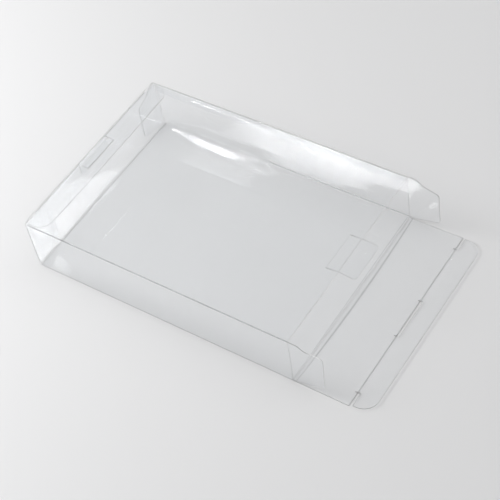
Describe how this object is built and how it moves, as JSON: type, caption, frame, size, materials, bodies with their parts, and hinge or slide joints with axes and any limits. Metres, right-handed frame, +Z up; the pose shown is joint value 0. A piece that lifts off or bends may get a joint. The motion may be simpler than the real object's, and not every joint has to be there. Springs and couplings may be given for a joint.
{
  "type": "game box protector",
  "caption": "Clear folded film sleeve that holds a boxed game flat, with a locked end, and an open end whose wall, tuck flap, dust flaps and lock tongue fold shut.",
  "frame": {"origin": "middle of the base between the two end walls when both are closed, on its underside, where the sleeve rests", "axes": "+X from the closed end to the open end, +Y from the near wall to the glued wall, +Z up to the top panel"},
  "size_m": [0.234, 0.136, 0.0374],
  "materials": {
    "clear_film": "clear glossy polyester film with thin creases at its folds"
  },
  "bodies": {
    "sleeve": {"sleeve": "clear_film"},
    "end_flap": {"end_flap": "clear_film"},
    "tuck_flap": {"tuck_flap": "clear_film"},
    "dust_flap_back": {"dust_flap_back": "clear_film"},
    "dust_flap_front": {"dust_flap_front": "clear_film"},
    "lock_tongue": {"lock_tongue": "clear_film"}
  },
  "joints": [
    {"name": "end_flap_fold", "type": "hinge", "parent": "sleeve", "child": "end_flap", "pos_m": [0.0926, 0, 0.0004], "axis": [0, -1, 0], "range_deg": [0, 90]},
    {"name": "tuck_flap_fold", "type": "hinge", "parent": "end_flap", "child": "tuck_flap", "pos_m": [0.1276, 0, 0.0004], "axis": [0, -1, 0], "range_deg": [0, 90]},
    {"name": "dust_flap_back_fold", "type": "hinge", "parent": "sleeve", "child": "dust_flap_back", "pos_m": [0.0919, 0.0676, 0.018], "axis": [0, 0, -1], "range_deg": [0, 90]},
    {"name": "dust_flap_front_fold", "type": "hinge", "parent": "sleeve", "child": "dust_flap_front", "pos_m": [0.0919, -0.0676, 0.018], "axis": [0, 0, 1], "range_deg": [0, 90]},
    {"name": "lock_tongue_fold", "type": "hinge", "parent": "sleeve", "child": "lock_tongue", "pos_m": [0.0919, 0, 0.0361], "axis": [0, 1, 0], "range_deg": [-4, 86]}
  ]
}
